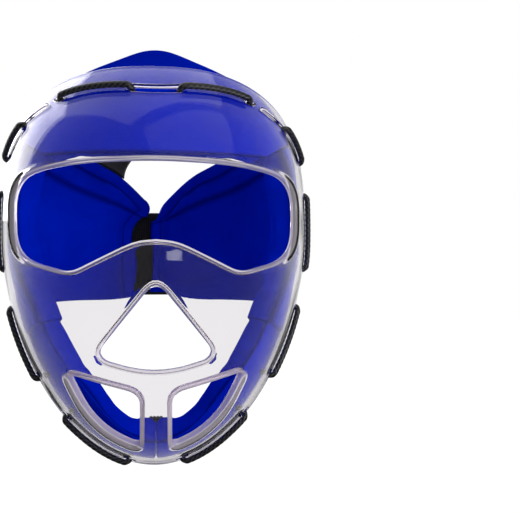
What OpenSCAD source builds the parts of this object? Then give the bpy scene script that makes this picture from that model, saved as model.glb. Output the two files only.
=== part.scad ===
// Field-hockey face mask: a clear moulded shell laced to sewn foam pads, with two ear flaps
// that a wide elastic strap draws together behind the head, and a strap over the crown.
// Millimetres. +Z is up, the face looks along -Y, and +X is the wearer's left.
// The origin lies on the eye line, midway between the rear edges of the shell's two sides.

/* [Shell] */
// Half width of the shell's rim at the eye line
shell_half_w = 92; // [84:1:112]
// Height of the crown rim above the eye line
crown_h = 90; // [78:1:108]
// Depth of the chin rim below the eye line
chin_drop = 139; // [118:1:168]
// How far the face stands forward of the side rims
face_depth = 100; // [84:1:120]
// How far the crown rim stands forward of the side rims
crown_set = 56; // [46:1:66]
// How far the chin rim stands forward of the side rims
chin_set = 30; // [24:1:38]
// Height of the ridge over the nose
nose_ridge = 12; // [8:1:16]
// Wall of the moulded shell
wall = 3.2; // [2.6:0.1:4]

/* [Openings] */
// Half width of the eye opening
eye_half_w = 80.5; // [68:0.5:82]
// Upper edge of the eye opening above the eye line
eye_top = 34; // [28:1:40]
// Lowest point of the eye opening below the eye line
eye_low = 24.5; // [20:0.5:28]
// Lower edge of the eye opening over the nose, below the eye line
eye_nose = 7; // [4:0.5:10]
// Half width of the three-cornered nose vent
nose_vent_half_w = 33; // [27:0.5:38]
// Height of the nose vent
nose_vent_h = 45; // [38:0.5:50]
// Bar between the nose vent and the mouth vents
mouth_bar = 11; // [9:0.5:13]
// Height of a mouth vent beside the chin post
mouth_vent_h = 33; // [27:0.5:38]
// Width of a mouth vent along its upper edge
mouth_vent_w = 40; // [33:0.5:46]
// Half width of the chin post between the mouth vents
chin_post_half_w = 9.5; // [8:0.5:12]
// Height of the chin bar below the mouth vents
chin_bar = 15; // [13:0.5:18]

/* [Lacing] */
// Diameter of the lacing cord
lace_d = 4.4; // [3.6:0.1:5.4]
// Room around the cord in its holes
lace_hole_play = 0.7; // [0.5:0.1:1]
// Distance of the lace holes from the rim at the sides, along the shell
lace_inset = 13; // [11:0.5:16]
// How much farther from the rim the lace holes lie at the crown
lace_crown_drop = 10; // [6:0.5:12]
// Depth of the cord's hidden runs below the shell's inner face
lace_depth = 6; // [5:0.5:7]

/* [Pads] */
// Foam of the forehead pad at its crown
forehead_foam_t = 10; // [8:0.5:12]
// Foam of the temple pads at their crown
temple_foam_t = 17; // [14:0.5:20]
// Foam of the jaw pads at their crown
jaw_foam_t = 15; // [12:0.5:18]
// Depth of the temple pads forward of the rim
temple_pad_w = 34; // [30:1:40]
// Depth of the jaw pads forward of the rim
jaw_pad_w = 33; // [30:1:40]
// How much farther forward the pads reach over the cheek
cheek_extra = 12; // [8:1:16]
// How far the pads reach back past the rim
pad_overhang = 3; // [2:0.5:4]
// How far the forehead pad stands over the middle of the crown rim
crown_tongue = 18; // [12:1:22]
// Lower edge of the forehead pad above the eye line
forehead_low = 31; // [28:0.5:36]
// Thickness of the covering fabric
cloth = 1; // [0.8:0.1:1.2]

/* [Ear flaps] */
// How far the flaps reach behind the side rims
flap_reach = 101; // [86:1:120]
// Foam of the flaps
flap_foam_t = 8; // [6.5:0.5:9.5]
// Top of a flap's rear edge above the eye line
flap_rear_top = 26; // [24:1:30]
// Bottom of a flap's rear edge below the eye line
flap_rear_low = 46; // [44:1:52]
// Distance of the sewn channel from the flap's upper edge
flap_channel = 14; // [11:0.5:17]
// Diameter of the rolled hem
hem_d = 7; // [6:0.5:8]

/* [Straps] */
// Width of the elastic strap behind the head
back_strap_w = 60; // [50:1:66]
// Thickness of the elastic strap
back_strap_t = 2.2; // [1.8:0.1:2.6]
// Width of the crown strap
crown_strap_w = 38; // [32:1:45]
// Thickness of the crown strap
crown_strap_t = 1.8; // [1.5:0.1:2.2]
// How far the middle of the crown strap rises over the flaps
crown_strap_rise = 25; // [18:1:34]
// How far the middle of the crown strap lies back from the flaps
crown_strap_lean = 31; // [22:1:38]

/* [Hidden] */

// Clearances: pad to shell, between plies of a pad, between pads and flaps, and between bodies
pad_gap = 0.6;
ply_gap = 0.1;
seam_gap = 1.6;
body_gap = 0.3;
// Thickness of the foam where a pad is sewn shut
seam_t = 0.4;
// Steps of the shell's mesh round the rim and from the pole to the rim
shell_steps = 64;
shell_rings = 11;
// Angles in the front view, from the wearer's left round to the crown
crown_end = 32;
temple_end = -38;
flap_top = 41;
flap_low = -30;
pad_split = 1;

lace_r = lace_d / 2;
lace_hole_r = lace_r + lace_hole_play;
hem_r = hem_d / 2;
mouth_low = chin_bar - chin_drop;
mouth_top = mouth_low + mouth_vent_h;
nose_vent_low = mouth_top + mouth_bar;
nose_vent_top = nose_vent_low + nose_vent_h;

shell_colour = [0.9, 0.89, 0.95, 0.35];
cloth_colour = [0.01, 0.13, 0.86];
foam_colour = [0.12, 0.13, 0.16];
webbing_colour = [0.06, 0.06, 0.05];

function unit(v) = v / norm(v);
function mix(a, b, t) = a * (1 - t) + b * t;
function mirrored(p) = [-p.x, p.y, p.z];
function ease(t) = let (c = min(1, max(0, t))) c * c * (3 - 2 * c);
function signed_pow(c, q) = sign(c) * pow(abs(c), q);

// Shape of the shell

// Rim in the front view: squarer over the brow, drawn to a point at the chin
function rim_power(th) = mix(1.9, 2.85, ease((sin(th) + 0.4) / 0.8));
function rim_r(th) = let (n = rim_power(th), h = sin(th) < 0 ? chin_drop : crown_h)
    pow(pow(abs(cos(th)) / shell_half_w, n) + pow(abs(sin(th)) / h, n), -1 / n);
// Where the rim lies from front to back, and the slope at which the shell ends there
function rim_y(th) = -(sin(th) < 0 ? chin_set : crown_set) * pow(sin(th), 2);
function rim_slope(th) = 90 - (sin(th) < 0 ? 10 : 38) * pow(sin(th), 2);
// The chin is fuller than the brow
function fullness(th) = 1 - 0.25 * pow(min(0, sin(th)), 2);
function nose(x, z) = nose_ridge * exp(-pow(x / 22, 2) - pow((z + 20) / 28, 2));

// Point of the outer face: th round the rim, ph from the middle of the face to the rim
function face_point(th, ph) =
    let (slope = rim_slope(th),
         q = fullness(th),
         depth = (face_depth + rim_y(th)) / (1 - signed_pow(cos(slope), q)),
         r = rim_r(th) * sin(ph) / sin(slope),
         x = r * cos(th),
         z = r * sin(th))
    [x, depth * (1 - signed_pow(cos(ph), q)) - face_depth - nose(x, z), z];
function face_normal(th, ph) =
    unit(cross(face_point(th, ph + 0.2) - face_point(th, ph - 0.2),
               face_point(th + 0.2, ph) - face_point(th - 0.2, ph)));
// Depth of the outer face under a point of the front view
function face_y(x, z) =
    let (th = atan2(z, x))
    face_point(th, asin(min(0.999, norm([x, z]) * sin(rim_slope(th)) / rim_r(th)))).y;

// Millimetres along the face for one degree of ph, at the rim
function rim_rate(th) = norm(face_point(th, rim_slope(th)) - face_point(th, rim_slope(th) - 1));
// Angle ph at the distance a forward of the rim
function ph_at(th, a) = rim_slope(th) - max(0, a) / rim_rate(th);
function rim_run(th) = unit(face_point(th, rim_slope(th)) - face_point(th, rim_slope(th) - 0.5));
// Point at the distance a forward of the rim, or behind it if a is negative, d inside the outer face
function inset_point(th, a, d) =
    face_point(th, ph_at(th, a)) + max(0, -a) * rim_run(th) - d * face_normal(th, ph_at(th, a));

// Closed solid between two grids of points, rows of equal length, from its first to its second face
module ply(first, second) {
    rows = len(first);
    cols = len(first[0]);
    size = rows * cols;
    rim = concat([for (j = [0 : cols - 1]) j],
                 [for (i = [1 : rows - 1]) i * cols + cols - 1],
                 [for (j = [cols - 2 : -1 : 0]) (rows - 1) * cols + j],
                 [for (i = [rows - 2 : -1 : 1]) i * cols]);
    face = [for (i = [0 : rows - 2]) for (j = [0 : cols - 2])
        let (a = i * cols + j, b = a + 1, c = a + cols + 1, d = a + cols) each [[a, c, b], [a, d, c]]];
    edge = [for (k = [0 : len(rim) - 1])
        let (a = rim[k], b = rim[(k + 1) % len(rim)]) each [[a, b, a + size], [b, b + size, a + size]]];
    points = concat([for (row = first) each row], [for (row = second) each row]);
    polyhedron(points, concat(face, [for (f = face) [f[2] + size, f[1] + size, f[0] + size]], edge));
}

// Round tube through a list of points; side is the direction across the run at each point
module tube(path, side, r, sides) {
    last = len(path) - 1;
    ring = [for (i = [0 : last])
        let (t = unit(path[min(last, i + 1)] - path[max(0, i - 1)]),
             n = unit(cross(t, side[i])),
             b = cross(n, t))
        each [for (k = [0 : sides - 1]) path[i] + r * (cos(360 * k / sides) * n + sin(360 * k / sides) * b)]];
    wall_faces = [for (i = [0 : last - 1]) for (k = [0 : sides - 1])
        let (a = i * sides + k, b = i * sides + (k + 1) % sides)
        each [[a, b, b + sides], [a, b + sides, a + sides]]];
    ends = [[for (k = [sides - 1 : -1 : 0]) k], [for (k = [0 : sides - 1]) last * sides + k]];
    polyhedron(ring, concat(wall_faces, ends));
}

// Outlines of the openings, in the front view

function bezier(a, b, c, t) = a * (1 - t) * (1 - t) + b * 2 * t * (1 - t) + c * t * t;
// Polygon with each corner rounded; a corner is its point and the length cut from its sides
function rounded(corners, steps = 6) =
    [for (i = [0 : len(corners) - 1])
        let (n = len(corners),
             p = corners[i][0],
             before = corners[(i + n - 1) % n][0],
             after = corners[(i + 1) % n][0],
             start = p + corners[i][1] * unit(before - p),
             end = p + corners[i][1] * unit(after - p))
        each [for (k = [0 : steps]) bezier(start, p, end, k / steps)]];
function both_halves(half) =
    concat(half,
           [for (i = [len(half) - 1 : -1 : 0])
               let (p = half[i][0])
               if (p.x > 0) [[-p.x, p.y], half[i][1]]]);

eye_outline = rounded(both_halves([
    [[0, -eye_nose + 5], 21],
    [[46, -eye_low - 0.7], 6],
    [[eye_half_w, -eye_low + 7], 17],
    [[eye_half_w + 1, eye_top - 7], 17],
    [[42, eye_top - 0.5], 20],
    [[0, eye_top + 0.5], 10]]));
nose_vent_outline = rounded(both_halves([
    [[0, nose_vent_low], 20],
    [[nose_vent_half_w, nose_vent_low + 9], 8],
    [[0, nose_vent_top + 4], 9]]));
mouth_vent_outline = rounded([
    [[chin_post_half_w, mouth_low - 1], 5],
    [[chin_post_half_w + 0.62 * mouth_vent_w, mouth_low + 10], 20],
    [[chin_post_half_w + mouth_vent_w, mouth_top + 10], 6],
    [[chin_post_half_w, mouth_top], 6]]);

// Cutter for an opening: its walls run to a point behind the face, so the cut edges flare outward
draft_point = [0, 40, -20];
module opening(outline) {
    n = len(outline);
    on_face = [for (p = outline) [p.x, face_y(p.x, p.y), p.y]];
    near = [for (p = on_face) mix(draft_point, p, 0.72)];
    far = [for (p = on_face) mix(draft_point, p, 1.35)];
    middle = [for (ring = [near, far]) [for (k = [0 : 2]) [for (p = ring) p[k]] * [for (p = ring) 1] / n]];
    walls = [for (i = [0 : n - 1]) let (j = (i + 1) % n) each [[i, n + j, j], [i, n + i, n + j]]];
    caps = [for (i = [0 : n - 1]) let (j = (i + 1) % n) each [[2 * n, i, j], [2 * n + 1, n + j, n + i]]];
    polyhedron(concat(near, far, middle), concat(walls, caps));
}

// Lacing

// Holes on the wearer's left, from the crown to the chin; the cord runs outside between the first two,
// inside to the third, outside to the fourth, and so on
crown_hole = 80;
brow_hole = 38;
chin_hole = -83.5;
lace_holes = [crown_hole, 53, brow_hole, 24.5, 13, -15.5, -29, -52.5, -64.5, chin_hole];
// Two of the holes are slots: the one across the crown and the one at the brow
crown_slot = [for (k = [0 : 3]) mix(crown_hole, 180 - crown_hole, k / 3)];
side_slot = [brow_hole, brow_hole + 4.5, brow_hole + 9];
// Radius at which the cord turns into a hole
lace_turn = 3.2;
lace_out = lace_r + body_gap;
lace_in = -wall - lace_depth;
jaw_stack = pad_gap + 2 * cloth + 2 * ply_gap + jaw_foam_t;
lace_chin = -wall - jaw_stack - lace_r - 2 * body_gap;

// The holes lie farther from the rim over the brow, and nearer it under the chin
function hole_inset(th) =
    lace_inset + lace_crown_drop * ease((min(th, 180 - th) - 22) / 30) - 5 * ease((-th - 68) / 14);
function lace_point(p) = inset_point(p[0], hole_inset(p[0]), -p[1]);
function lace_side(p) =
    let (a = hole_inset(p[0]))
    unit(inset_point(p[0], a + 1, 0) - inset_point(p[0], a - 1, 0));
function lace_rate(th) = norm(lace_point([th + 0.5, 0]) - lace_point([th - 0.5, 0]));
// One run of the cord between two holes, as pairs of angle and height over the shell's outer face
function lace_bend(th, level, way) =
    let (up = sign(level + wall / 2))
    [for (b = [0 : 45 : 90])
        [th + way * lace_turn * (1 - cos(b)) / lace_rate(th), level - up * lace_turn * (1 - sin(b))]];
function lace_run(from, to, level) =
    let (a = lace_bend(from, level, -1),
         b = lace_bend(to, level, 1),
         steps = max(1, round(abs(from - to) * lace_rate((from + to) / 2) / 11)))
    concat(a, [for (k = [1 : 1 : steps - 1]) [mix(a[2][0], b[2][0], k / steps), level]], [b[2], b[1], b[0]]);
lace_crown_bend = lace_bend(crown_hole, lace_in, 1);
lace_crown_end = [[crown_hole + 6, lace_in], [crown_hole + 3.5, lace_in],
                  lace_crown_bend[1], lace_crown_bend[0]];
lace_runs = [for (i = [0 : 8]) lace_run(lace_holes[i], lace_holes[i + 1], i % 2 == 0 ? lace_out : lace_in)];
lace_tail = concat(lace_bend(chin_hole, lace_chin, -1), [[-87.6, lace_chin], [-89.8, lace_chin]]);

module lace_tube(run, grow = 0) {
    tube([for (p = run) lace_point(p)], [for (p = run) lace_side(p)], lace_r + grow, 7);
}
module lace_side_cord() {
    color(webbing_colour) lace_tube(concat(lace_crown_end, [for (run = lace_runs) each run], lace_tail));
}
// Tunnels of the cord through the pads: at the crown, brow, temple, jaw and chin
module lace_tunnel(run) {
    lace_tube(concat([[run[0][0], 0]], run, [[run[len(run) - 1][0], 0]]), body_gap);
}
module crown_tunnel() {
    lace_tube(concat([[crown_hole + 7, lace_in]], lace_crown_end, [[crown_hole, 0]]), body_gap);
}
module chin_tunnel() {
    lace_tube(concat([[chin_hole, 0]], lace_tail), body_gap);
}

module lace_hole(from, to) {
    hull() {
        for (th = [from, to]) {
            n = face_normal(th, ph_at(th, hole_inset(th)));
            translate(lace_point([th, 0]))
                rotate([0, acos(n.z), atan2(n.y, n.x)])
                    cylinder(h = 4 * wall, r = lace_hole_r, center = true, $fn = 8);
        }
    }
}

module face_shell() {
    rings = [for (j = [1 : shell_rings]) [for (i = [0 : shell_steps - 1])
        let (th = 360 * i / shell_steps) [th, rim_slope(th) * pow(j / shell_rings, 0.9)]]];
    pole = [0, -face_depth - nose(0, 0), 0];
    grid = [for (ring = rings) each ring];
    size = len(grid) + 1;
    points = concat([for (g = grid) face_point(g[0], g[1])], [pole],
                    [for (g = grid) face_point(g[0], g[1]) - wall * face_normal(g[0], g[1])],
                    [pole + [0, wall, 0]]);
    skin = concat(
        [for (i = [0 : shell_steps - 1]) [size - 1, (i + 1) % shell_steps, i]],
        [for (j = [0 : shell_rings - 2]) for (i = [0 : shell_steps - 1])
            let (a = j * shell_steps + i, b = j * shell_steps + (i + 1) % shell_steps)
            each [[a, b, b + shell_steps], [a, b + shell_steps, a + shell_steps]]]);
    last = (shell_rings - 1) * shell_steps;
    rim = [for (i = [0 : shell_steps - 1]) let (a = last + i, b = last + (i + 1) % shell_steps)
        each [[a, b, b + size], [a, b + size, a + size]]];
    color(shell_colour)
        difference() {
            polyhedron(points, concat(skin, [for (f = skin) [f[2] + size, f[1] + size, f[0] + size]], rim));
            opening(eye_outline);
            opening(nose_vent_outline);
            opening(mouth_vent_outline);
            mirror([1, 0, 0])
                opening(mouth_vent_outline);
            for (k = [0 : 2])
                lace_hole(crown_slot[k], crown_slot[k + 1]);
            for (side = [0, 1])
                mirror([side, 0, 0]) {
                    for (th = lace_holes)
                        if (th < crown_hole)
                            lace_hole(th - 0.4, th + 0.4);
                    for (k = [0 : 1])
                        lace_hole(side_slot[k], side_slot[k + 1]);
                }
        }
}

// Pads along the rim

// A pad's stations: angle, how far it reaches forward of the rim and how far behind
function forehead_front(th) =
    (rim_slope(th) - asin(forehead_low / sin(th) * sin(rim_slope(th)) / rim_r(th))) * rim_rate(th);
function forehead_back(th) = pad_overhang + (crown_tongue - pad_overhang) * exp(-pow((th - 90) / 22, 4));
forehead_stations = [for (k = [0 : 12])
    let (th = mix(crown_end, 180 - crown_end, k / 12)) [th, forehead_front(th), forehead_back(th)]];
// The pads reach farther forward over the cheek
function cheek_reach(th) = cheek_extra * (ease((-th - 8) / 26) - ease((-th - 48) / 26));
temple_stations = [for (k = [0 : 7])
    let (th = mix(temple_end, crown_end - pad_split, k / 7))
    [th, temple_pad_w + cheek_reach(th), pad_overhang]];
jaw_stations = [for (k = [0 : 8])
    let (th = mix(-89.8, temple_end - pad_split, k / 8))
    [th, jaw_pad_w + cheek_reach(th) - 5 * pow(ease((-th - 72) / 18), 2), pad_overhang]];
pad_across = [0, 0.05, 0.2, 0.5, 0.8, 0.95, 1];
// A pad: its stations, its full foam and how deep the channel sewn along its middle draws it in
forehead_pad = [forehead_stations, forehead_foam_t, 0];
temple_pad = [temple_stations, temple_foam_t, 0];
jaw_pad = [jaw_stations, jaw_foam_t, 0.4];

// Foam of a pad: full in the middle, drawn in to the seam along its sides and ends and to its channel
function foam_at(pad, across, along) =
    let (sides = sqrt(max(0, 1 - pow(abs(2 * across - 1), 4))),
         ends = sqrt(max(0, 1 - pow(abs(2 * along - 1), 10))),
         channel = 1 - pad[2] * exp(-pow((across - 0.5) / 0.1, 2)))
    seam_t + (pad[1] - seam_t) * sides * ends * channel;

// One surface of a pad, at the depth that lies under so many plies of cloth and part of the foam
function pad_surface(pad, plies, gaps, foam_share) =
    let (last = len(pad[0]) - 1)
    [for (i = [0 : last]) [for (u = pad_across)
        let (s = pad[0][i],
             depth = wall + pad_gap + plies * cloth + gaps * ply_gap + foam_share * foam_at(pad, u, i / last))
        inset_point(s[0], mix(s[1], -s[2], u), depth)]];
module pad_backing(pad) {
    color(cloth_colour)
        ply(pad_surface(pad, 0, 0, 0), pad_surface(pad, 1, 0, 0));
}
module pad_foam(pad) {
    color(foam_colour)
        ply(pad_surface(pad, 1, 1, 0), pad_surface(pad, 1, 1, 1));
}
module pad_lining(pad) {
    color(cloth_colour)
        ply(pad_surface(pad, 1, 2, 1), pad_surface(pad, 2, 2, 1));
}

module forehead_tunnels() {
    for (side = [0, 1])
        mirror([side, 0, 0]) {
            crown_tunnel();
            lace_tunnel(lace_runs[1]);
        }
}
module forehead_backing() {
    difference() {
        pad_backing(forehead_pad);
        forehead_tunnels();
    }
}
module forehead_foam() {
    difference() {
        pad_foam(forehead_pad);
        forehead_tunnels();
    }
}
module forehead_lining() {
    pad_lining(forehead_pad);
}

module temple_tunnels() {
    lace_tunnel(lace_runs[3]);
    lace_tunnel(lace_runs[5]);
}
module left_temple_backing() {
    difference() {
        pad_backing(temple_pad);
        temple_tunnels();
    }
}
module left_temple_foam() {
    difference() {
        pad_foam(temple_pad);
        temple_tunnels();
    }
}
module left_temple_lining() {
    pad_lining(temple_pad);
}

module jaw_tunnels() {
    lace_tunnel(lace_runs[7]);
    chin_tunnel();
}
module left_jaw_backing() {
    difference() {
        pad_backing(jaw_pad);
        jaw_tunnels();
    }
}
module left_jaw_foam() {
    difference() {
        pad_foam(jaw_pad);
        jaw_tunnels();
    }
}
module left_jaw_lining() {
    difference() {
        pad_lining(jaw_pad);
        chin_tunnel();
    }
}

module right_temple_backing() { mirror([1, 0, 0]) left_temple_backing(); }
module right_temple_foam() { mirror([1, 0, 0]) left_temple_foam(); }
module right_temple_lining() { mirror([1, 0, 0]) left_temple_lining(); }
module right_jaw_backing() { mirror([1, 0, 0]) left_jaw_backing(); }
module right_jaw_foam() { mirror([1, 0, 0]) left_jaw_foam(); }
module right_jaw_lining() { mirror([1, 0, 0]) left_jaw_lining(); }

module left_lace() { lace_side_cord(); }
module right_lace() { mirror([1, 0, 0]) lace_side_cord(); }

// Barrel knot round the two cord ends that meet inside the chin
module lace_knot() {
    middle = lace_point([-90, lace_chin]);
    bore = lace_r + 2 * body_gap;
    color(webbing_colour)
        translate([0, middle.y, middle.z])
            rotate([0, 90, 0])
                rotate_extrude($fn = 24)
                    polygon([[bore, -4.5], [bore + 0.9, -4.5], [bore + 1.7, -2.6], [bore + 1.7, 2.6],
                        [bore + 0.9, 4.5], [bore, 4.5]]);
}

// Ear flaps: from the rim behind the temple pad, round the side of the head

flap_end = 84;
function flap_point(s, v, d) =
    let (p = flap_face(s, v),
         n = unit(cross(flap_face(s + 0.01, v) - flap_face(s - 0.01, v),
                        flap_face(s, v + 0.01) - flap_face(s, v - 0.01))))
    p - d * n;
// Outer face: s from the rim to the rear edge, v from the lower to the upper edge
function flap_face(s, v) =
    let (start = inset_point(mix(flap_low, flap_top, v), -pad_overhang - seam_gap, wall + pad_gap),
         t = flap_end * s,
         corner = pow(max(0, (s - 0.72) / 0.28), 2),
         rear_z = mix(-flap_rear_low, flap_rear_top, v),
         round_z = corner * (4 * pow(max(0, 1 - 3 * v), 2) - 13 * pow(max(0, 3 * v - 2), 2)))
    [start.x * cos(t),
     start.y + (flap_reach - start.y) * sin(t),
     mix(start.z, rear_z, pow(max(0, s), 1.15)) + round_z];

flap_along = [0, 0.03, 0.1, 0.25, 0.4, 0.55, 0.7, 0.84, 0.96, 1];
flap_edge_h = norm(flap_face(0.5, 1) - flap_face(0.5, 0));
flap_seam = 1 - flap_channel / flap_edge_h;
channel_share = 0.035;
flap_up = concat([0, 0.03, 0.12, 0.4, 0.66],
                 [for (k = [-1 : 1]) flap_seam + k * channel_share], [0.97, 1]);
// Swell of the flap's foam, nipped in by the channel sewn along its upper edge
function flap_foam_at(s, v) =
    let (sides = sqrt(max(0, 1 - pow(abs(2 * s - 1), 14)) * max(0, 1 - pow(abs(2 * v - 1), 10))),
         channel = 1 - 0.6 * exp(-pow((v - flap_seam) / (channel_share / 1.6), 2)))
    seam_t + (flap_foam_t - seam_t) * sides * channel;
function flap_surface(plies, gaps, foam_share) =
    [for (v = flap_up) [for (s = flap_along)
        flap_point(s, v, plies * cloth + gaps * ply_gap + foam_share * flap_foam_at(s, v))]];

module left_flap_cover() {
    color(cloth_colour)
        ply(flap_surface(0, 0, 0), flap_surface(1, 0, 0));
}
module left_flap_foam() {
    color(foam_colour)
        ply(flap_surface(1, 1, 0), flap_surface(1, 1, 1));
}
module left_flap_lining() {
    color(cloth_colour)
        ply(flap_surface(1, 2, 1), flap_surface(2, 2, 1));
}

// Rolled hem along the upper and rear edges
flap_edge_t = 2 * cloth + 2 * ply_gap + seam_t;
hem_off = hem_r + 3 * body_gap;
function flap_out(s, v) = unit(flap_point(s, v, -1) - flap_point(s, v, 0));
function top_out(s) = unit(flap_face(s, 1) - flap_face(s, 0.97));
function rear_out(v) = unit(flap_face(1, v) - flap_face(0.98, v));
function hem_top(s) = flap_point(s, 1, flap_edge_t / 2) + hem_off * top_out(s);
function hem_rear(v) = flap_point(1, v, flap_edge_t / 2) + hem_off * rear_out(v);
hem_corner = [for (w = [0.25, 0.75])
    flap_point(1, 1, flap_edge_t / 2) + hem_off * 1.15 * unit(mix(top_out(1), rear_out(1), w))];
hem_along = [0.03, 0.12, 0.24, 0.36, 0.48, 0.6, 0.72, 0.82, 0.9, 0.96];
hem_down = [0.93, 0.8, 0.6, 0.4, 0.2, 0.05];
hem_path = concat([for (s = hem_along) hem_top(s)], hem_corner, [for (v = hem_down) hem_rear(v)]);
hem_side = concat([for (s = hem_along) flap_out(s, 1)],
                  [for (v = concat([1, 1], hem_down)) flap_out(1, v)]);
module left_flap_hem() {
    color(cloth_colour)
        tube(hem_path, hem_side, hem_r, 8);
}

module right_flap_cover() { mirror([1, 0, 0]) left_flap_cover(); }
module right_flap_foam() { mirror([1, 0, 0]) left_flap_foam(); }
module right_flap_lining() { mirror([1, 0, 0]) left_flap_lining(); }
module right_flap_hem() { mirror([1, 0, 0]) left_flap_hem(); }

// Straps

// Back strap: an upright elastic band round the outside of both flaps, sewn to the left one and
// closed on the right one with a hook patch
strap_sewn = 46;
strap_lap = 52;
strap_mid_z = flap_rear_top - 10 - back_strap_w / 2;
strap_rise = hem_r - flap_edge_t / 2 + 3 * body_gap;
strap_hinge_s = 0.97;
// Length along the flap's outer face, from its rear edge forward
strap_row = (strap_mid_z + flap_rear_low) / (flap_rear_top + flap_rear_low);
flap_length = norm(flap_face(1, strap_row) - flap_face(0.5, strap_row)) / 0.5;
// Point of the strap's inner face in plan, at share s along the left flap
function strap_plan(s) =
    let (p = flap_face(s, strap_row), n = flap_out(s, strap_row), m = unit([n.x, n.y]))
    [p.x, p.y] + strap_rise * m;
function strap_normal(s) = let (n = flap_out(s, strap_row)) unit([n.x, n.y]);
strap_sewn_s = strap_hinge_s - strap_sewn / flap_length;
strap_lap_s = strap_hinge_s - strap_lap / flap_length;

// Upright band along a plan line: each station has a point and the outward direction
module band(stations, low, high, from, to) {
    inner = [for (s = stations) s[0] + from * s[1]];
    outer = [for (s = stations) s[0] + to * s[1]];
    translate([0, 0, low])
        linear_extrude(height = high - low)
            polygon(concat(inner, [for (i = [len(outer) - 1 : -1 : 0]) outer[i]]));
}
strap_low = strap_mid_z - back_strap_w / 2;
strap_high = strap_mid_z + back_strap_w / 2;
function left_stations(from, to, steps) =
    [for (k = [0 : steps]) let (s = mix(from, to, k / steps)) [strap_plan(s), strap_normal(s)]];
function right_stations(from, to, steps) =
    [for (s = left_stations(from, to, steps)) [[-s[0].x, s[0].y], [-s[1].x, s[1].y]]];

module back_strap_anchor() {
    stations = left_stations(strap_sewn_s, strap_hinge_s - 0.004, 8);
    pad_stations = left_stations(strap_sewn_s, strap_hinge_s - 0.12, 6);
    color(webbing_colour)
        union() {
            band(stations, strap_low, strap_high, 0, back_strap_t);
            band(pad_stations, strap_low, strap_high, body_gap - strap_rise, 0.01);
        }
}
module back_strap() {
    free = left_stations(strap_hinge_s, 1, 1);
    lap = right_stations(1, strap_lap_s, 10);
    color(webbing_colour)
        band(concat(free, lap), strap_low, strap_high, 0, back_strap_t);
}
module back_strap_hook() {
    color(webbing_colour)
        band(right_stations(strap_lap_s + 0.2, strap_lap_s + 0.02, 6), strap_low + 4, strap_high - 4,
             body_gap - strap_rise, -ply_gap);
}

// Crown strap: webbing sewn into the upper seams of the two flaps, lying back over the head
crown_right_s = 0.68;
crown_left_s = 0.46;
crown_share = crown_strap_w / norm(flap_face(0.7, 1) - flap_face(0.35, 1)) * 0.35;
crown_steps = 12;
crown_across = [-0.5, -0.25, 0, 0.25, 0.5];
function crown_end(s) = hem_top(s) + (hem_off + crown_strap_t / 2) * top_out(s);
// Point of the strap's middle layer: w across the strap, t from the right flap to the left
function crown_point(w, t) =
    let (right = mirrored(crown_end(crown_right_s + w * crown_share)),
         left = crown_end(crown_left_s + w * crown_share),
         arch = [0, crown_strap_lean, crown_strap_rise] * 4)
    right * pow(1 - t, 2) * (1 + 2 * t) + left * pow(t, 2) * (3 - 2 * t) + arch * t * (1 - t);
function crown_normal(w, t) =
    unit(cross(crown_point(w + 0.01, t) - crown_point(w - 0.01, t),
               crown_point(w, t + 0.01) - crown_point(w, t - 0.01)));
function crown_layer(d) =
    [for (w = crown_across) [for (k = [0 : crown_steps])
        crown_point(w, k / crown_steps) + d * crown_normal(w, k / crown_steps)]];
module crown_strap() {
    color(webbing_colour)
        ply(crown_layer(-crown_strap_t / 2), crown_layer(crown_strap_t / 2));
}

face_shell();
forehead_backing();
forehead_foam();
forehead_lining();
right_temple_backing();
right_temple_foam();
right_temple_lining();
left_temple_backing();
left_temple_foam();
left_temple_lining();
right_jaw_backing();
right_jaw_foam();
right_jaw_lining();
left_jaw_backing();
left_jaw_foam();
left_jaw_lining();
right_flap_cover();
right_flap_foam();
right_flap_lining();
right_flap_hem();
left_flap_cover();
left_flap_foam();
left_flap_lining();
left_flap_hem();
right_lace();
left_lace();
lace_knot();
back_strap_anchor();
back_strap();
back_strap_hook();
crown_strap();
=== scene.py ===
import math

import bpy
import numpy as np
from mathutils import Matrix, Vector, geometry


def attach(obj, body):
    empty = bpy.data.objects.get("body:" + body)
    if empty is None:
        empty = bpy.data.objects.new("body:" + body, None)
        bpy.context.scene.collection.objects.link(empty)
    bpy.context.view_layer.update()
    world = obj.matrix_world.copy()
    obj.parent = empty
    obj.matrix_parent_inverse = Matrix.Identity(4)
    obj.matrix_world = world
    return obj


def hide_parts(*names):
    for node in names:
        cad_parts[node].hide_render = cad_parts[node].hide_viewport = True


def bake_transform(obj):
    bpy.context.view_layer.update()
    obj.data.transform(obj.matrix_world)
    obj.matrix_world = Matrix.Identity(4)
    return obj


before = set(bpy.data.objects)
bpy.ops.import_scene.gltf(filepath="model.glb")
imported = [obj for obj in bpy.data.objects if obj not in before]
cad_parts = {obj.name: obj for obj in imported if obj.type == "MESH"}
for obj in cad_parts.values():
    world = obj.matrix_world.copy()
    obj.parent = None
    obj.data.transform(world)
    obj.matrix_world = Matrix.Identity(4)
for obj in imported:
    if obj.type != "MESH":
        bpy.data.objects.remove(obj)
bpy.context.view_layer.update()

# Studio
# The mask is shown face on against white paper, in soft light from all round with the key lamp above
# and to its right. Two window panes beside it give the highlight on the nose. The lens is level with
# the nose, and the mask sits left of the middle.
scene = bpy.context.scene
scene.view_settings.view_transform = "Standard"
lens = bpy.data.cameras.new("mask_camera")
lens.sensor_width = 36
lens.lens = 36 * 897 / 520
camera = bpy.data.objects.new("mask_camera", lens)
camera.location = (0, -0.560, -0.020)
camera.rotation_euler = (math.radians(90.13), 0, math.radians(-6.61))
scene.collection.objects.link(camera)
scene.camera = camera


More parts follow.
